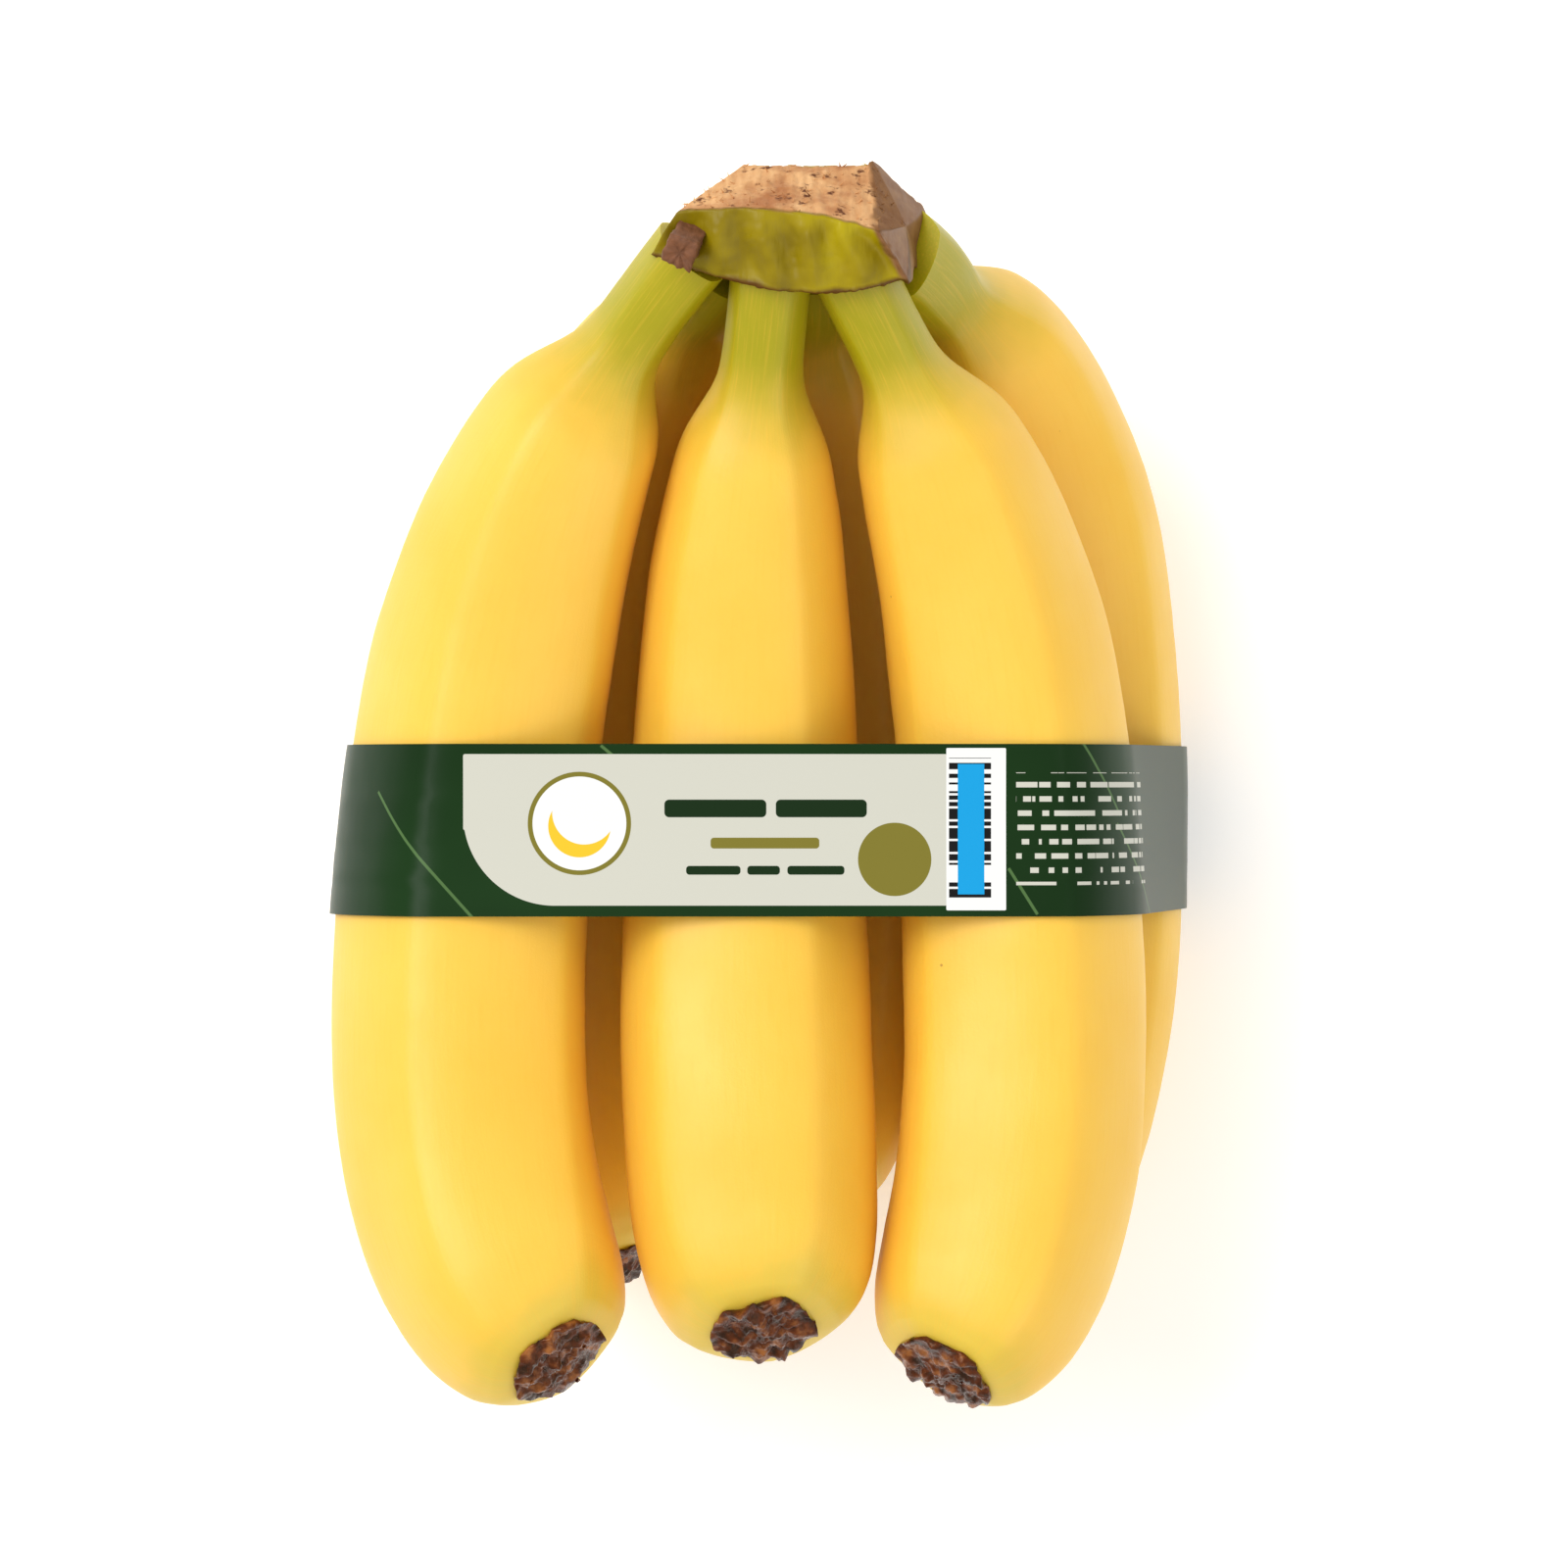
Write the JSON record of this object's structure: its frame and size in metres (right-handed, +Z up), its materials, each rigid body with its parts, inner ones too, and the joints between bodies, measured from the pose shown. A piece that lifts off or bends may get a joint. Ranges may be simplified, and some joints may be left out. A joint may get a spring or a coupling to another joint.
{
  "type": "bunch of bananas",
  "caption": "Hand of curved ripe fruit in two nested rows, joined at a cut crown and held by a printed wrap band; lies on its back with the hollow side up.",
  "frame": {"origin": "middle of the bunch's outline on the surface that it lies on", "axes": "+X to the right as seen from above with the crown away from the viewer, +Y along the fingers towards the crown, +Z up; the hollow side of the fingers faces +Z"},
  "size_m": [0.1328, 0.1842, 0.0993],
  "materials": {
    "peel": "waxy, smooth ripe peel, green at the stalk and brown at the blossom end",
    "crown_fibre": "green skin with a dry tan fibrous cut",
    "dried_stump": "dry, dark brown",
    "band_film": "printed film, satin"
  },
  "bodies": {
    "root": {"crown": "crown_fibre", "cut_stump": "dried_stump", "banana_front_left": "peel", "banana_front_middle": "peel", "banana_front_right": "peel", "banana_back_left": "peel", "banana_back_middle": "peel", "banana_back_right": "peel", "wrap_band": "band_film"}
  },
  "joints": []
}
